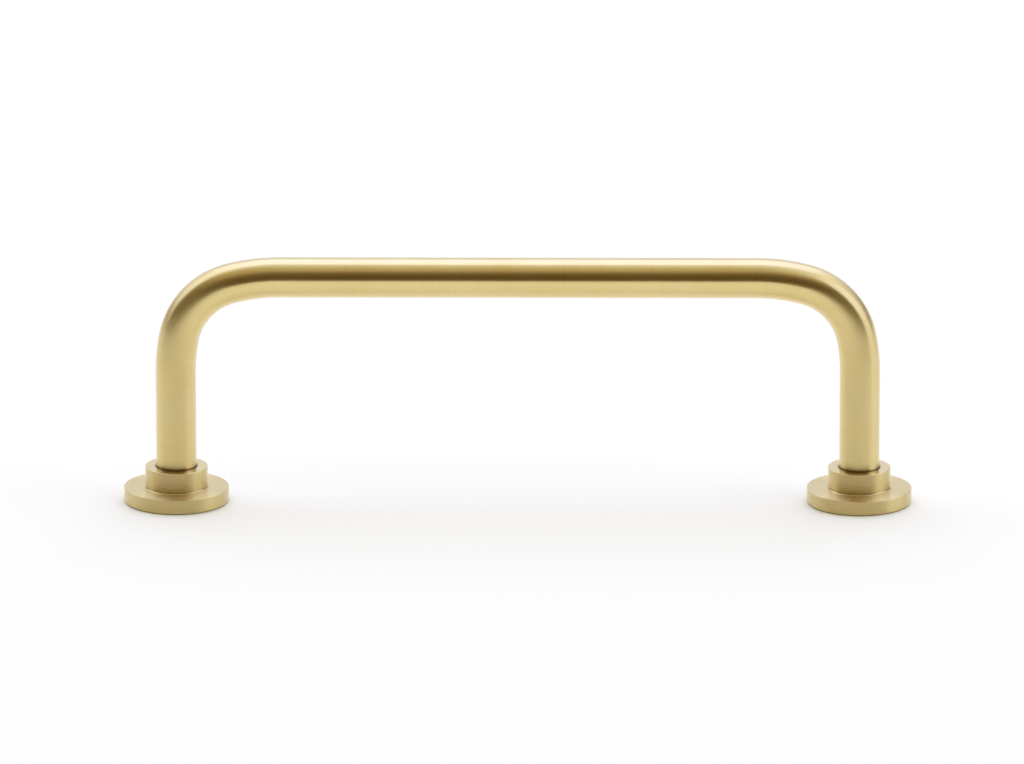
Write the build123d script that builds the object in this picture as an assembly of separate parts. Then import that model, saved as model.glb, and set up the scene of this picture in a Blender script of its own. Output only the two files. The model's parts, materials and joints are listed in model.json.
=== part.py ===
from build123d import *
import math
import os

# Arch pull: a round brass bar bent to an arch, each end seated in a turned rosette.
# Origin on the drawer face midway between the screws, +X along the pull, +Z away from the face.
# All sizes are in millimetres.

# The arch
screw_centres = 101.6
projection = 37.5
bar_diameter = 6.0
bend_radius = 10.6
bend_ease_radius = 28.0
leg_ease_angle = 11.0
crosspiece_ease_angle = 15.0
bar_end_chamfer = 0.3

# The rosettes under its ends
collar_wall = 1.6
collar_height = 3.2
collar_edge_chamfer = 0.15
collar_root_fillet = 0.3
flange_overhang = 3.15
flange_thickness = 2.2
flange_edge_chamfer = 0.15
flange_base_chamfer = 0.2
socket_floor = 1.8
socket_clearance = 0.05
socket_mouth_chamfer = 0.15

# The fixing screws and their holes
screw_diameter = 4.17
screw_clearance = 0.165
thread_height = 0.36
thread_length = 10.0
thread_runout = 2.5
thread_lead_in = 0.4
drill_point_angle = 118.0

# Sizes that follow from those above
bar_radius = bar_diameter / 2
arch_height = projection - bar_radius
leg_offset = screw_centres / 2
bend_angle = 90 - leg_ease_angle - crosspiece_ease_angle
socket_radius = bar_radius + socket_clearance
collar_radius = socket_radius + collar_wall
collar_top = flange_thickness + collar_height
flange_radius = collar_radius + flange_overhang
screw_hole_radius = screw_diameter / 2 + screw_clearance
tapped_hole_radius = screw_diameter / 2 - thread_height
tapped_hole_depth = thread_length + thread_runout
drill_point_height = tapped_hole_radius / math.tan(math.radians(drill_point_angle / 2))


# A turned shape: a closed outline of (radius, height) corners, some with a fillet, spun about the Z axis
def turned(outline, fillets):
    radii = [fillets.get(corner, 0) for corner in outline]
    profile = make_face(FilletPolyline(*outline, radius=radii, close=True))
    return revolve(Plane.XZ * profile, Axis.Z)


# The blind hole in a bar end before tapping: lead-in, straight wall and drill point
def tapped_hole():
    outline = [
        (0, 0),
        (tapped_hole_radius + thread_lead_in, 0),
        (tapped_hole_radius, thread_lead_in),
        (tapped_hole_radius, tapped_hole_depth),
        (0, tapped_hole_depth + drill_point_height),
    ]
    return turned(outline, {})


# The left bend in the arch's plane: a tight arc that wider ones ease into the leg and the crosspiece
def left_bend():
    turns = [
        (bend_ease_radius, leg_ease_angle),
        (bend_radius, bend_angle),
        (bend_ease_radius, crosspiece_ease_angle),
    ]
    arcs = []
    place = Vector(-leg_offset, 0)
    heading = Vector(0, 1)
    for radius, angle in turns:
        arc = JernArc(place, heading, radius, -angle)
        arcs.append(arc)
        place = arc @ 1
        heading = arc % 1
    return [Pos(0, arch_height - place.Y) * arc for arc in arcs]


# The bar's middle line: two straight legs and a crosspiece, joined by the bends
def arch_line():
    bend = left_bend()
    leg = Line((-leg_offset, socket_floor), bend[0] @ 0)
    left = [leg, *bend]
    right = [mirror(line, Plane.YZ).edge() for line in left]
    bend_end = bend[-1] @ 1
    crosspiece = Line(bend_end, (-bend_end.X, bend_end.Y))
    return Plane.XZ * Wire([*left, crosspiece, *right])


# The bar: a round section swept along that line, its ends chamfered and drilled
def make_bar():
    path = arch_line()
    section = Plane(origin=path @ 0, z_dir=path % 0) * Circle(bar_radius)
    bar = sweep(section, path)
    end_faces = bar.faces().filter_by(Axis.Z).sort_by(Axis.Z)[:2]
    bar = chamfer(end_faces.edges(), bar_end_chamfer)
    for side in (-1, 1):
        bar -= Pos(side * leg_offset, 0, socket_floor) * tapped_hole()
    return bar


# A rosette: flange and collar in one turning, socketed for the bar and bored for the screw
def make_rosette():
    collar_root = (collar_radius, flange_thickness)
    outline = [
        (screw_hole_radius, 0),
        (flange_radius - flange_base_chamfer, 0),
        (flange_radius, flange_base_chamfer),
        (flange_radius, flange_thickness - flange_edge_chamfer),
        (flange_radius - flange_edge_chamfer, flange_thickness),
        collar_root,
        (collar_radius, collar_top - collar_edge_chamfer),
        (collar_radius - collar_edge_chamfer, collar_top),
        (socket_radius + socket_mouth_chamfer, collar_top),
        (socket_radius, collar_top - socket_mouth_chamfer),
        (socket_radius, socket_floor),
        (screw_hole_radius, socket_floor),
    ]
    return turned(outline, {collar_root: collar_root_fillet})


os.makedirs("parts", exist_ok=True)
export_step(make_bar(), "parts/bar.step")
for name, side in (("left_rosette", -1), ("right_rosette", 1)):
    export_step(Pos(side * leg_offset, 0, 0) * make_rosette(), f"parts/{name}.step")
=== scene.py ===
import json
import math

import bpy
import numpy as np
from mathutils import Matrix, Vector


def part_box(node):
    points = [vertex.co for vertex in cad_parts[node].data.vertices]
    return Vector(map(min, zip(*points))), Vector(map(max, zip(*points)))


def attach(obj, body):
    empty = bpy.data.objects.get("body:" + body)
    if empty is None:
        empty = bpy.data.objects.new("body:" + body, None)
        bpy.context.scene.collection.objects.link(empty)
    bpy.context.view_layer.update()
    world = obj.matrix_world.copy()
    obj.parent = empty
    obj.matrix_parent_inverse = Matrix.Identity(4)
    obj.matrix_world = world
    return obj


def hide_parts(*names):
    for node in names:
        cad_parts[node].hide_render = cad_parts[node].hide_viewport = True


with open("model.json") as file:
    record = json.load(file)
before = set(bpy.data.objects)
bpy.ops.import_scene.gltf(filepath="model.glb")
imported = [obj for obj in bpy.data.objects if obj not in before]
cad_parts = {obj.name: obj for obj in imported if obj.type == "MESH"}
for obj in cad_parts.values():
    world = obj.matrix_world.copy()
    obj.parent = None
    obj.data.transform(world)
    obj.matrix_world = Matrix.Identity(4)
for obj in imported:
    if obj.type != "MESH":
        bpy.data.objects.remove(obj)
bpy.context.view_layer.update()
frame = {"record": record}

MM = 0.001

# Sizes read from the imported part, in metres
mount_dims = {mount["name"]: mount["dims"] for mount in frame["record"]["mounts"]}
bar_low, bar_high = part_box("bar")
rosette_low, rosette_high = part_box("left_rosette")
leg_offset = mount_dims["fixing_holes"]["spacing_x_mm"] * MM / 2
screw_hole_radius = mount_dims["fixing_holes"]["hole_r_mm"] * MM
tap_radius = mount_dims["left_thread"]["r_mm"] * MM
bar_radius = bar_high.x - leg_offset
arch_height = bar_high.z - bar_radius
socket_floor = bar_low.z
flange_radius = -leg_offset - rosette_low.x
collar_top = rosette_high.z

# Sizes that the box of a part doesn't give, in metres
BEND_RADIUS = 10.6 * MM
BEND_EASE_RADIUS = 28.0 * MM
LEG_EASE_ANGLE = math.radians(11)
CROSSPIECE_EASE_ANGLE = math.radians(15)
COLLAR_RADIUS = 4.65 * MM
SOCKET_RADIUS = 3.05 * MM
FLANGE_THICKNESS = 2.2 * MM
COLLAR_ROOT_FILLET = 0.3 * MM
EDGE_ROUND = 0.08 * MM
BASE_ROUND = 0.30 * MM
SOCKET_ROUND = 0.12 * MM
BAR_END_ROUND = 0.3 * MM
HOLE_EDGE_ROUND = 0.08 * MM
TAP_DEPTH = 12.5 * MM
DRILL_POINT_ANGLE = math.radians(118)
DRILL_TIP_RADIUS = 0.02 * MM
THREAD_LEAD_IN = 0.4 * MM
THREAD_END = 10.5 * MM
THREAD_PITCH = 0.794 * MM
THREAD_HEIGHT = 0.36 * MM
THREAD_TOLERANCE = 0.01 * MM

# The thread's flat root and each of its flanks, as shares of the pitch
THREAD_ROOT = 0.15
THREAD_FLANK = 0.25

# How finely the meshes are divided
ARC_STEP = math.radians(12)
BAR_SIDES = 96
ROSETTE_SIDES = 224
BAR_STEP = 0.5 * MM
THREAD_STEP = 0.07 * MM
ROSETTE_STEP = 0.35 * MM

# The photograph's view: where the camera stands, and the pixel where the origin shows
PHOTO_WIDTH = 1024
PHOTO_HEIGHT = 764
VIEW_DISTANCE = 2.032
VIEW_ELEVATION = math.radians(16.92)
VIEW_TURN = math.radians(0.35)
PIXELS_PER_METRE = 6714.5
ORIGIN_PIXEL = (517.8, 500.5)
SENSOR_WIDTH = 36.0


# Outlines

def rounded_outline(corners, step, closed):
    """Points, normals and wear along an outline of (x, y, rounding) corners, with the metal on its left.

    It is 1 on the rounding of an outer edge, where the brass is worn, -1 on that of an inner one, where
    shade is painted, and 0 elsewhere.
    """
    places = [Vector(corner[:2]) for corner in corners]
    count = len(places)
    stops = []
    for i, corner in enumerate(corners):
        if not closed and i in (0, count - 1):
            along = (places[1] - places[0]) if i == 0 else (places[-1] - places[-2])
            stops.append((places[i], Vector((along.y, -along.x)).normalized(), 0))
            continue
        into = (places[i] - places[i - 1]).normalized()
        out_of = (places[(i + 1) % count] - places[i]).normalized()
        turn = math.atan2(into.x * out_of.y - into.y * out_of.x, into.dot(out_of))
        radius = corner[2]
        side = math.copysign(1, turn)
        normal = Vector((into.y, -into.x))
        centre = places[i] - into * radius * math.tan(abs(turn) / 2) - side * radius * normal
        steps = max(2, math.ceil(abs(turn) / ARC_STEP))
        for k in range(steps + 1):
            turned = Matrix.Rotation(turn * k / steps, 2) @ normal
            stops.append((centre + side * radius * turned, turned, side if 0 < k < steps else 0))
    return divided(stops, step, closed)


def divided(stops, step, closed):
    """The same outline with its long straight runs cut into equal steps."""
    result = []
    following = stops[1:] + stops[:1] if closed else stops[1:]
    for (place, normal, wear_and_shade), (next_place, next_normal, next_wear_and_shade) in zip(stops, following):
        pieces = max(1, math.ceil((next_place - place).length / step(place, next_place)))
        for k in range(pieces):
            share = k / pieces
            between = normal.lerp(next_normal, share).normalized()
            result.append((place.lerp(next_place, share), between, wear_and_shade + (next_wear_and_shade - wear_and_shade) * share))
    if not closed:
        result.append(stops[-1])
    places, normals, wears_and_shades = zip(*result)
    return np.array(places), np.array(normals), np.array(wears_and_shades)


def in_thread(place):
    """Whether a point of the bar's outline lies on the tapped wall."""
    return abs(place[0] - tap_radius) < THREAD_TOLERANCE


def bar_step(place, next_place):
    """The longest step between two corners of the bar's outline."""
    return THREAD_STEP if in_thread(place) and in_thread(next_place) else BAR_STEP


def rosette_step(place, next_place):
    """The longest step between two corners of a rosette's outline, the same everywhere."""
    return ROSETTE_STEP


# Meshes

def ring_mesh(name, points, normals, unrolled, wears_and_shades, closed):
    """A smooth mesh of quads between neighbouring rings of points, an open run capped at both ends.

    unrolled holds each point's place on the surface before it was bent or turned.
    The fifth argument holds each ring's mark: wear on an outer edge, painted shade in an inner one.
    """
    rings, sides = points.shape[:2]
    index = np.arange(rings * sides).reshape(rings, sides)
    below = index if closed else index[:-1]
    above = np.roll(index, -1, axis=0) if closed else index[1:]
    quads = np.stack([below, np.roll(below, -1, axis=1), np.roll(above, -1, axis=1), above], axis=-1)
    faces = quads.reshape(-1, 4).tolist()
    if not closed:
        faces += [index[0][::-1].tolist(), index[-1].tolist()]
    mesh = bpy.data.meshes.new(name)
    mesh.from_pydata(points.reshape(-1, 3).tolist(), [], faces)
    mesh.polygons.foreach_set("use_smooth", [True] * len(faces))
    write_grain_map(mesh, quads.shape[:2])
    places = mesh.attributes.new("unrolled", "FLOAT_VECTOR", "POINT")
    places.data.foreach_set("vector", unrolled.reshape(-1))
    wear_and_shade = mesh.attributes.new("wear_and_shade", "FLOAT", "POINT")
    wear_and_shade.data.foreach_set("value", np.repeat(wears_and_shades, sides))
    mesh.normals_split_custom_set_from_vertices(normals.reshape(-1, 3).tolist())
    piece = bpy.data.objects.new(name, mesh)
    bpy.context.scene.collection.objects.link(piece)
    return piece


def write_grain_map(mesh, shape):
    """A UV map with U along the outline and V round it, which gives the grain its direction."""
    rows, sides = shape
    row, side = np.meshgrid(np.arange(rows), np.arange(sides), indexing="ij")
    u = np.stack([row, row, row + 1, row + 1], axis=-1) / rows
    v = np.stack([side, side + 1, side + 1, side], axis=-1) / sides
    uv = np.zeros((len(mesh.loops), 2))
    uv[: u.size] = np.column_stack([u.reshape(-1), v.reshape(-1)])
    mesh.uv_layers.new(name="grain").data.foreach_set("uv", uv.reshape(-1))


def led_on(place, heading, radius, distance):
    """Where a run of the bar's line leads: its place and its heading from upright.

    A straight run has no radius.
    """
    if radius is None:
        return place + distance * np.array([math.sin(heading), math.cos(heading)]), heading
    turned = heading + distance / radius
    chord = np.array([math.cos(heading) - math.cos(turned), math.sin(turned) - math.sin(heading)])
    return place + radius * chord, turned


def half_arch():
    """The runs from the bar's left end to its middle: leg, eased bend and half the crosspiece.

    Each run is given as (length, radius).
    """
    main_angle = math.pi / 2 - LEG_EASE_ANGLE - CROSSPIECE_EASE_ANGLE
    bend = [
        (BEND_EASE_RADIUS * LEG_EASE_ANGLE, BEND_EASE_RADIUS),
        (BEND_RADIUS * main_angle, BEND_RADIUS),
        (BEND_EASE_RADIUS * CROSSPIECE_EASE_ANGLE, BEND_EASE_RADIUS),
    ]
    place, heading = np.zeros(2), 0.0
    for length, radius in bend:
        place, heading = led_on(place, heading, radius, length)
    reach, rise = place
    return [(arch_height - rise - socket_floor, None), *bend, (leg_offset - reach, None)]


def bar_path(runs, distance):
    """Centre and direction of the bar's line at a distance from its left end."""
    half = sum(length for length, radius in runs)
    side = -1 if distance > half else 1
    left = min(distance, 2 * half - distance)
    place, heading = np.array([-leg_offset, socket_floor]), 0.0
    for length, radius in runs:
        place, heading = led_on(place, heading, radius, min(left, length))
        left = max(0, left - length)
    centre = np.array([side * place[0], 0, place[1]])
    direction = np.array([math.sin(heading), 0, side * math.cos(heading)])
    return centre, direction


def thread_groove(depth, turn):
    """How far the thread cuts into the hole's wall at a depth and an angle round it.

    The cut fades out at both ends of the thread.
    """
    phase = (depth / THREAD_PITCH - turn / (2 * math.pi)) % 1
    from_root = np.abs(phase - 0.5) - THREAD_ROOT / 2
    groove = np.clip(1 - from_root / THREAD_FLANK, 0, 1)
    fade = np.clip((THREAD_END - depth) / THREAD_PITCH, 0, 1) * np.clip(depth / THREAD_PITCH, 0, 1)
    return THREAD_HEIGHT * groove * fade


def make_bar():
    """The bent bar as one run of rings, from the point of one tapped hole out and over to the other."""
    runs = half_arch()
    end = 2 * sum(length for length, radius in runs)
    point = TAP_DEPTH + tap_radius / math.tan(DRILL_POINT_ANGLE / 2)
    near_end = [
        (DRILL_TIP_RADIUS, point, 0),
        (tap_radius, TAP_DEPTH, HOLE_EDGE_ROUND),
        (tap_radius, THREAD_LEAD_IN, HOLE_EDGE_ROUND),
        (tap_radius + THREAD_LEAD_IN, 0, HOLE_EDGE_ROUND),
        (bar_radius, 0, BAR_END_ROUND),
    ]
    far_end = [(radius, end - along, rounding) for radius, along, rounding in reversed(near_end)]
    places, flat_normals, wears_and_shades = rounded_outline(near_end + far_end, bar_step, False)
    angles = np.arange(BAR_SIDES) * 2 * math.pi / BAR_SIDES
    circle = np.column_stack([np.cos(angles), np.sin(angles)])
    forward = np.array([0, -1, 0])
    points, normals, unrolled = [], [], []
    for (radius, along), (swell, lean) in zip(places, flat_normals):
        centre, direction = bar_path(runs, along)
        spokes = circle @ np.array([forward, np.cross(direction, forward)])
        threaded = in_thread((radius, along))
        depth = min(along, end - along)
        groove = thread_groove(depth, angles) if threaded else np.zeros(BAR_SIDES)
        points.append(centre + (radius + groove)[:, None] * spokes)
        normals.append(np.zeros_like(spokes) if threaded else lean * direction + swell * spokes)
        unrolled.append(np.column_stack([np.full(BAR_SIDES, along), radius * circle]))
    return ring_mesh("pull_bar", np.array(points), np.array(normals), np.array(unrolled), wears_and_shades, False)


def make_rosette(name, centre_x):
    """One turned rosette, its outline spun about the screw's axis."""
    corners = [
        (screw_hole_radius, 0, HOLE_EDGE_ROUND),
        (flange_radius, 0, BASE_ROUND),
        (flange_radius, FLANGE_THICKNESS, EDGE_ROUND),
        (COLLAR_RADIUS, FLANGE_THICKNESS, COLLAR_ROOT_FILLET),
        (COLLAR_RADIUS, collar_top, EDGE_ROUND),
        (SOCKET_RADIUS, collar_top, SOCKET_ROUND),
        (SOCKET_RADIUS, socket_floor, HOLE_EDGE_ROUND),
        (screw_hole_radius, socket_floor, HOLE_EDGE_ROUND),
    ]
    places, flat_normals, wears_and_shades = rounded_outline(corners, rosette_step, True)
    run = np.concatenate([[0], np.cumsum(np.linalg.norm(np.diff(places, axis=0), axis=1))])
    angles = np.arange(ROSETTE_SIDES) * 2 * math.pi / ROSETTE_SIDES
    spokes = np.column_stack([np.cos(angles), np.sin(angles), np.zeros(ROSETTE_SIDES)])
    up = np.array([0, 0, 1])
    points = places[:, None, :1] * spokes + places[:, None, 1:] * up + np.array([centre_x, 0, 0])
    normals = flat_normals[:, None, :1] * spokes + flat_normals[:, None, 1:] * up
    around = np.repeat(COLLAR_RADIUS * spokes[None, :, :2], len(places), axis=0)
    along = np.repeat(run[:, None, None], ROSETTE_SIDES, axis=1)
    return ring_mesh(name, points, normals, np.concatenate([along, around], axis=2), wears_and_shades, True)


# Nodes

# Where a mix node has its two colours and their blend
MIX_BASE = 6
MIX_OVER = 7
MIX_RESULT = 2


def feed(tree, node, inputs):
    """Gives a node its inputs, each a value or the socket that feeds it."""
    for name, value in inputs.items():
        if isinstance(value, bpy.types.NodeSocket):
            tree.links.new(value, node.inputs[name])
        else:
            node.inputs[name].default_value = value


def add(tree, kind, inputs, **settings):
    """A new node with its settings and inputs."""
    node = tree.nodes.new(kind)
    for name, value in settings.items():
        setattr(node, name, value)
    feed(tree, node, inputs)
    return node


def calculate(tree, operation, *values):
    """The result of a math node on values or sockets."""
    return add(tree, "ShaderNodeMath", dict(enumerate(values)), operation=operation).outputs[0]


def separated(tree, vector):
    """The X, Y and Z of a vector."""
    return add(tree, "ShaderNodeSeparateXYZ", {"Vector": vector}).outputs


def hypotenuse(tree, a, b):
    """The length of a line that goes a one way and b across it."""
    square = calculate(tree, "MULTIPLY_ADD", a, a, calculate(tree, "MULTIPLY", b, b))
    return calculate(tree, "SQRT", square)


def ramp(tree, factor, stops):
    """A colour ramp with stops given as (position, colour)."""
    node = add(tree, "ShaderNodeValToRGB", {"Fac": factor})
    elements = node.color_ramp.elements
    while len(elements) < len(stops):
        elements.new(0.5)
    for element, (position, colour) in zip(elements, stops):
        element.position = position
        element.color = (*colour, 1)
    return node.outputs["Color"]


def blended(tree, share, colour, over):
    """A colour with another laid over it by a share."""
    inputs = {"Factor": share, MIX_BASE: colour, MIX_OVER: (*over, 1)}
    return add(tree, "ShaderNodeMix", inputs, data_type="RGBA").outputs[MIX_RESULT]


def mixed(tree, share, shader, other):
    """A shader with a share of another in it."""
    return add(tree, "ShaderNodeMixShader", {0: share, 1: shader, 2: other}).outputs[0]


def seen_or_mirrored(tree):
    """1 for what the camera sees straight, in a reflection or through glass, and 0 for diffuse light."""
    path = add(tree, "ShaderNodeLightPath", {}).outputs
    either = calculate(tree, "MAXIMUM", path["Is Camera Ray"], path["Is Glossy Ray"])
    return calculate(tree, "MAXIMUM", either, path["Is Transmission Ray"])


def from_screw(tree, place):
    """How far a point is from the axis of the screw on its side."""
    across = calculate(tree, "SUBTRACT", calculate(tree, "ABSOLUTE", place["X"]), leg_offset)
    return hypotenuse(tree, across, place["Y"])


# Materials

# Satin brass under thin lacquer, its grain, clouds and specks scaled per metre along and round the surface
BRASS_DEEP = (0.728, 0.574, 0.233)
BRASS_PALE = (0.767, 0.619, 0.276)
BRASS_RUBBED = (0.83, 0.71, 0.40)
# Painted shade in the inner roundings
BRASS_HOLLOW_SHADE = (0.40, 0.29, 0.11)
BRASS_SPECK = (0.90, 0.82, 0.60)
# Painted shade where the bar enters the collar
BRASS_JOINT_SHADE = (0.22, 0.145, 0.05)
# Painted shade along the foot of the flange
BRASS_FOOT_SHADE = (0.50, 0.33, 0.08)
JOINT_SHADE_WIDTH = 0.35 * MM
BAR_ROUGHNESS = 0.31
BAR_ANISOTROPY = 0.85
ROSETTE_ROUGHNESS = 0.42
ROSETTE_ANISOTROPY = 0.90
COLLAR_TOP_POLISH = 0.24
FLANGE_TOP_POLISH = 0.02
LACQUER_WEIGHT = 0.6
LACQUER_ROUGHNESS = 0.15
LACQUER_IOR = 1.5
GRAIN_SCALE = (9000, 250, 250)
GRAIN_DETAIL = 3
GRAIN_DEPTH = 0.6e-6
GRAIN_TONE = 0.45
GRAIN_ROUGHNESS = 0.07
CLOUD_SCALE = (120, 120, 120)
CLOUD_DETAIL = 2
CLOUD_TONE = 0.55
CLOUD_ROUGHNESS = 0.06
DEEP_TONE = 0.38
PALE_TONE = 0.62
BREAKUP_SCALE = (900, 900, 900)
BREAKUP_DETAIL = 2
RUBBED_SHARE = 0.7
RUBBED_POLISH = 0.06
HOLLOW_SHADE_SHARE = 0.45
HOLLOW_POLISH = 0.2
SPECK_SCALE = 450
SPECK_RADIUS = 0.035
SPECK_CHANCE = 0.15
SPECK_ROUGHNESS = 0.10


def joint_shade(tree, place):
    """1 where the bar enters the collar, fading to 0 one joint width from there: the share of painted
    shade at the joint.
    """
    across = calculate(tree, "SUBTRACT", from_screw(tree, place), SOCKET_RADIUS)
    above = calculate(tree, "SUBTRACT", place["Z"], collar_top)
    fading = calculate(tree, "MULTIPLY_ADD", hypotenuse(tree, across, above), -1 / JOINT_SHADE_WIDTH, 1.0)
    return calculate(tree, "MAXIMUM", fading, 0.0)


def foot_shade(tree, place):
    """1 at the foot of the flange's side, fading to 0 where its lower rounding ends: the share of painted
    shade there.
    """
    fading = calculate(tree, "MULTIPLY_ADD", place["Z"], -1 / BASE_ROUND, 1.0)
    outside = calculate(tree, "GREATER_THAN", from_screw(tree, place), flange_radius - BASE_ROUND)
    return calculate(tree, "MULTIPLY", calculate(tree, "MAXIMUM", fading, 0.0), outside)


def on_level(tree, place, height):
    """1 on a flat face of the rosette at a height and 0 elsewhere."""
    return calculate(tree, "COMPARE", place["Z"], height, EDGE_ROUND / 2)


def noise(tree, place, scale, detail):
    """Noise from 0 to 1 at a scale of its own along each axis of place."""
    scaled = add(tree, "ShaderNodeVectorMath", {0: place, 1: scale}, operation="MULTIPLY").outputs[0]
    inputs = {"Vector": scaled, "Scale": 1, "Detail": detail}
    return add(tree, "ShaderNodeTexNoise", inputs).outputs["Fac"]


def specks(tree, place):
    """1 on a few tiny round specks and 0 elsewhere."""
    cells = add(tree, "ShaderNodeTexVoronoi", {"Vector": place, "Scale": SPECK_SCALE})
    near = calculate(tree, "LESS_THAN", cells.outputs["Distance"], SPECK_RADIUS)
    chosen = calculate(tree, "LESS_THAN", cells.outputs["Color"], SPECK_CHANCE)
    return calculate(tree, "MULTIPLY", near, chosen)


def satin_brass(name, roughness, anisotropy, polished):
    """Brass with fine grain round the piece, uneven tone, rubbed edges, painted shade in its hollows,
    where the bar enters the collar and along the flange's foot, and a few specks.

    polished lists the flat faces that are smoother than the rest, as (height, how much smoother).
    """
    material = bpy.data.materials.new(name)
    material.use_nodes = True
    tree = material.node_tree
    place = add(tree, "ShaderNodeAttribute", {}, attribute_name="unrolled").outputs["Vector"]
    wear_and_shade = add(tree, "ShaderNodeAttribute", {}, attribute_name="wear_and_shade").outputs["Fac"]
    position = separated(tree, add(tree, "ShaderNodeNewGeometry", {}).outputs["Position"])
    grain = noise(tree, place, GRAIN_SCALE, GRAIN_DETAIL)
    cloud = noise(tree, place, CLOUD_SCALE, CLOUD_DETAIL)
    breakup = noise(tree, place, BREAKUP_SCALE, BREAKUP_DETAIL)
    speck = specks(tree, place)
    rubbed = calculate(tree, "MULTIPLY", calculate(tree, "MAXIMUM", wear_and_shade, 0.0), breakup)
    # Painted shade in the inner roundings, where the mark is -1; these roundings are also made smoother
    hollow_shade = calculate(tree, "MAXIMUM", calculate(tree, "MULTIPLY", wear_and_shade, -1.0), 0.0)

    cloud_tone = calculate(tree, "MULTIPLY", cloud, CLOUD_TONE)
    tone = calculate(tree, "MULTIPLY_ADD", grain, GRAIN_TONE, cloud_tone)
    colour = ramp(tree, tone, [(DEEP_TONE, BRASS_DEEP), (PALE_TONE, BRASS_PALE)])
    layers = [
        (calculate(tree, "MULTIPLY", rubbed, RUBBED_SHARE), BRASS_RUBBED),
        # painted shade in the inner roundings
        (calculate(tree, "MULTIPLY", hollow_shade, HOLLOW_SHADE_SHARE), BRASS_HOLLOW_SHADE),
        (speck, BRASS_SPECK),
        # painted shade where the bar enters the collar
        (joint_shade(tree, position), BRASS_JOINT_SHADE),
        # painted shade along the foot of the flange
        (foot_shade(tree, position), BRASS_FOOT_SHADE),
    ]
    for share, over in layers:
        colour = blended(tree, share, colour, over)

    rough = roughness - (GRAIN_ROUGHNESS + CLOUD_ROUGHNESS) / 2
    changes = [
        (grain, GRAIN_ROUGHNESS),
        (cloud, CLOUD_ROUGHNESS),
        (rubbed, -RUBBED_POLISH),
        (hollow_shade, -HOLLOW_POLISH),
        (speck, SPECK_ROUGHNESS),
    ]
    changes += [(on_level(tree, position, height), -polish) for height, polish in polished]
    for share, change in changes:
        rough = calculate(tree, "MULTIPLY_ADD", share, change, rough)

    bump = add(tree, "ShaderNodeBump", {"Height": grain, "Distance": GRAIN_DEPTH})
    direction = add(tree, "ShaderNodeTangent", {}, direction_type="UV_MAP", uv_map="grain")
    surface = {
        "Base Color": colour,
        "Roughness": rough,
        "Normal": bump.outputs["Normal"],
        "Tangent": direction.outputs["Tangent"],
        "Metallic": 1,
        "Anisotropic": anisotropy,
        "Coat Weight": LACQUER_WEIGHT,
        "Coat Roughness": LACQUER_ROUGHNESS,
        "Coat IOR": LACQUER_IOR,
    }
    feed(tree, tree.nodes["Principled BSDF"], surface)
    return material


# The stage

# The floor, in metres: it lies just below the pull and laps a little way under each rosette
FLOOR_SPAN = 3.0
FLOOR_FRONT = -0.42
FLOOR_BACK = 3.0
FLOOR_DROP = 0.02 * MM
FLOOR_COLOUR = (0.95, 0.95, 0.838)
FLOOR_WHITENING = 0.15
FLOOR_CONTACT = 0.15 * MM
FLOOR_LAP = 0.36 * MM

# A white studio with a dim room in front: the room's colour by elevation and its share by azimuth.
# Angles are in degrees, and azimuth 0 is towards the camera. The room's sides and the bright panels
# beyond them lean: there LEAN times the elevation is added to the azimuth.
STUDIO_WHITE = (0.88, 0.90, 0.96)
LEAN = 0.42
ROOM_ELEVATIONS = [
    (-90, (0.115, 0.07, 0.02)),
    (15, (0.115, 0.07, 0.02)),
    (32, (0.17, 0.115, 0.05)),
    (44, (0.27, 0.195, 0.10)),
    (50, (0.49, 0.39, 0.21)),
    (70, (0.61, 0.52, 0.32)),
    (82, (0.74, 0.68, 0.53)),
    (90, (0.92, 0.94, 1.0)),
]
ROOM_AZIMUTHS = [(-113, 0), (-96, 1), (67, 1), (76, 0), (122, 0), (128, 0.12), (155, 0.12), (170, 0)]
PANEL_COLOUR = (1.25, 1.32, 1.7)
PANEL_AZIMUTHS = [(-150, 0), (-140, 0.75), (-113, 0.75), (-96, 0), (67, 0), (76, 1), (118, 1), (126, 0)]
PANEL_ELEVATIONS = [(6, 0), (16, 1), (52, 1), (62, 0)]

# A dim corner low down behind each side, by azimuth without the lean and by elevation
CORNER_AZIMUTHS = [
    (-150, 0), (-135, 0.9), (-100, 0.9), (-88, 0),
    (101, 0), (107, 0.9), (145, 0.9), (160, 0),
]
CORNER_ELEVATIONS = [(7, 1), (24, 0)]

# Flat lamps above and behind the pull, in degrees and metres
LAMP_COLOUR = (0.92, 0.95, 1.0)
OVERHEAD = {"elevation": 61.3, "distance": 1.3, "size": (2.6, 1.066), "brightness": 0.22}
KEY = {"elevation": 61.3, "distance": 1.29, "size": (1.3, 1.06), "brightness": 1.3,
       "colour": (0.33, 0.36, 1.0)}
FILL = {"elevation": 84, "distance": 1.5, "size": (1.6, 2.2), "brightness": 0.68,
        "colour": (1.0, 1.0, 0.90), "mirrored": False}


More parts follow.
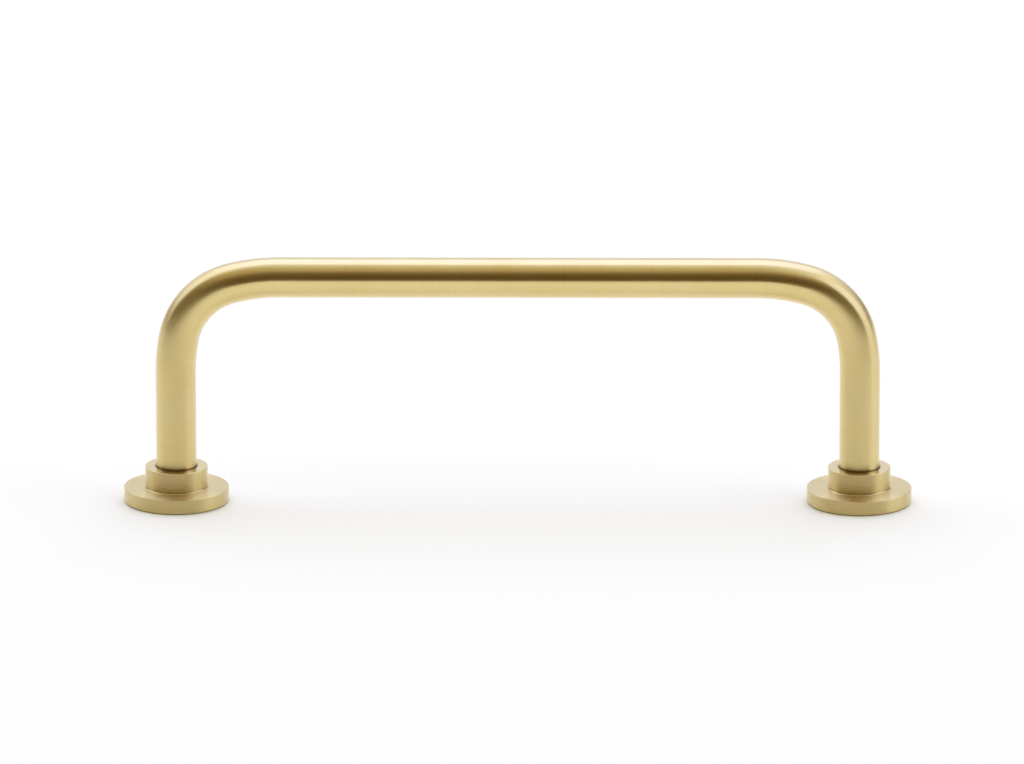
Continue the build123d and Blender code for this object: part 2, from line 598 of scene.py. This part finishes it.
def make_floor():
    """A white floor that keeps a soft shadow and a dark contact line, and vanishes seen from below.

    It is open under each rosette, so that the rosette's underside mirrors the room.
    """
    left, right = -FLOOR_SPAN, FLOOR_SPAN
    corners = [(left, FLOOR_FRONT), (right, FLOOR_FRONT), (right, FLOOR_BACK), (left, FLOOR_BACK)]
    mesh = bpy.data.meshes.new("floor")
    mesh.from_pydata([(x, y, -FLOOR_DROP) for x, y in corners], [], [(0, 1, 2, 3)])
    floor = bpy.data.objects.new("floor", mesh)
    bpy.context.scene.collection.objects.link(floor)
    material = bpy.data.materials.new("floor")
    material.use_nodes = True
    tree = material.node_tree
    tree.nodes.remove(tree.nodes["Principled BSDF"])
    matte = add(tree, "ShaderNodeBsdfDiffuse", {"Color": (*FLOOR_COLOUR, 1)}).outputs[0]
    # The glow that whitens the floor is dimmed by ambient occlusion right beside the pull: a painted
    # contact shade
    clear_of = add(tree, "ShaderNodeAmbientOcclusion", {"Distance": FLOOR_CONTACT})
    white = add(tree, "ShaderNodeEmission", {"Strength": clear_of.outputs["AO"]}).outputs[0]
    whitening = calculate(tree, "MULTIPLY", seen_or_mirrored(tree), FLOOR_WHITENING)
    geometry = add(tree, "ShaderNodeNewGeometry", {}).outputs
    place = separated(tree, geometry["Position"])
    under_rosette = calculate(tree, "LESS_THAN", from_screw(tree, place), flange_radius - FLOOR_LAP)
    unseen = calculate(tree, "MAXIMUM", geometry["Backfacing"], under_rosette)
    clear = add(tree, "ShaderNodeBsdfTransparent", {}).outputs[0]
    surface = mixed(tree, unseen, mixed(tree, whitening, matte, white), clear)
    tree.links.new(surface, tree.nodes["Material Output"].inputs["Surface"])
    mesh.materials.append(material)
    return floor


def by_angle(tree, angle, whole, stops):
    """A ramp over an angle in a whole turn or half turn, its stops given as (degrees, share or colour)."""
    share = calculate(tree, "MULTIPLY_ADD", angle, 1 / whole, 0.5)
    turn = math.degrees(whole)
    colours = [(degrees / turn + 0.5, np.broadcast_to(value, 3)) for degrees, value in stops]
    return ramp(tree, share, colours)


def background(tree, colour):
    """A background of one colour or of the colours that a socket gives."""
    return add(tree, "ShaderNodeBackground", {"Color": colour}).outputs[0]


def make_world():
    """A white studio with a dim warm room in front of the pull and a bright panel beyond each side of it.

    The camera itself sees plain white.
    """
    world = bpy.data.worlds.new("studio")
    world.use_nodes = True
    tree = world.node_tree
    direction = separated(tree, add(tree, "ShaderNodeTexCoord", {}).outputs["Generated"])
    elevation = calculate(tree, "ARCSINE", direction["Z"])
    towards = calculate(tree, "MULTIPLY", direction["Y"], -1.0)
    azimuth = calculate(tree, "ARCTAN2", direction["X"], towards)
    lean = calculate(tree, "MULTIPLY", elevation, LEAN)
    leaning = calculate(tree, "MULTIPLY_ADD", calculate(tree, "SIGN", azimuth), lean, azimuth)
    half, whole = math.pi, 2 * math.pi

    panel_sides = by_angle(tree, leaning, whole, PANEL_AZIMUTHS)
    panel_levels = by_angle(tree, elevation, half, PANEL_ELEVATIONS)
    panel_share = calculate(tree, "MULTIPLY", panel_sides, panel_levels)
    corner_sides = by_angle(tree, azimuth, whole, CORNER_AZIMUTHS)
    corner_levels = by_angle(tree, elevation, half, CORNER_ELEVATIONS)
    corner_share = calculate(tree, "MULTIPLY", corner_sides, corner_levels)
    room_share = calculate(tree, "MAXIMUM", by_angle(tree, leaning, whole, ROOM_AZIMUTHS), corner_share)

    studio = background(tree, (*STUDIO_WHITE, 1))
    panel = background(tree, (*PANEL_COLOUR, 1))
    room = background(tree, by_angle(tree, elevation, half, ROOM_ELEVATIONS))
    around = mixed(tree, room_share, mixed(tree, panel_share, studio, panel), room)
    white = background(tree, (1, 1, 1, 1))
    seen = add(tree, "ShaderNodeLightPath", {}).outputs["Is Camera Ray"]
    surface = mixed(tree, seen, around, white)
    tree.links.new(surface, tree.nodes["World Output"].inputs["Surface"])
    bpy.context.scene.world = world


def make_softbox(name, elevation, distance, size, brightness, colour=LAMP_COLOUR, mirrored=True):
    """A flat lamp above and behind the pull, aimed at the origin."""
    data = bpy.data.lights.new(name, "AREA")
    data.shape = "RECTANGLE"
    data.color = colour
    data.size, data.size_y = size
    data.energy = brightness * math.pi * size[0] * size[1]
    angle = math.radians(elevation)
    away = Vector((0, math.cos(angle), math.sin(angle)))
    lamp = bpy.data.objects.new(name, data)
    lamp.location = away * distance
    lamp.rotation_euler = away.to_track_quat("Z", "Y").to_euler()
    lamp.visible_camera = False
    lamp.visible_glossy = mirrored
    bpy.context.scene.collection.objects.link(lamp)


def make_camera():
    """A long lens at the photograph's angle, aimed so that the origin falls on its pixel."""
    level = math.cos(VIEW_ELEVATION)
    towards = Vector((
        math.sin(VIEW_TURN) * level,
        -math.cos(VIEW_TURN) * level,
        math.sin(VIEW_ELEVATION),
    ))
    right = Vector((math.cos(VIEW_TURN), math.sin(VIEW_TURN), 0))
    up = towards.cross(right)
    place = towards * VIEW_DISTANCE
    across = (PHOTO_WIDTH / 2 - ORIGIN_PIXEL[0]) / PIXELS_PER_METRE
    upward = (ORIGIN_PIXEL[1] - PHOTO_HEIGHT / 2) / PIXELS_PER_METRE
    back = (place - right * across - up * upward).normalized()
    side = up.cross(back).normalized()
    turned = Matrix((side, back.cross(side), back)).transposed().to_4x4()
    data = bpy.data.cameras.new("camera")
    data.sensor_width = SENSOR_WIDTH
    data.lens = PIXELS_PER_METRE * VIEW_DISTANCE * SENSOR_WIDTH / PHOTO_WIDTH
    camera = bpy.data.objects.new("camera", data)
    camera.matrix_world = Matrix.Translation(place) @ turned
    bpy.context.scene.collection.objects.link(camera)
    bpy.context.scene.camera = camera


# The pull

def dress(piece, node, material):
    """Gives a piece its material and lets it stand in for a node of the part."""
    piece.data.materials.append(material)
    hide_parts(node)
    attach(piece, "root")


rosette_polish = [(FLANGE_THICKNESS, FLANGE_TOP_POLISH), (collar_top, COLLAR_TOP_POLISH)]
bar_brass = satin_brass("bar_brass", BAR_ROUGHNESS, BAR_ANISOTROPY, [])
rosette_brass = satin_brass("rosette_brass", ROSETTE_ROUGHNESS, ROSETTE_ANISOTROPY, rosette_polish)
dress(make_bar(), "bar", bar_brass)
for node, side in (("left_rosette", -1), ("right_rosette", 1)):
    dress(make_rosette("pull_" + node, side * leg_offset), node, rosette_brass)

make_floor()
make_world()
make_softbox("overhead", **OVERHEAD)
make_softbox("key", **KEY)
make_softbox("fill", **FILL)
make_camera()
bpy.context.scene.view_settings.view_transform = "Standard"
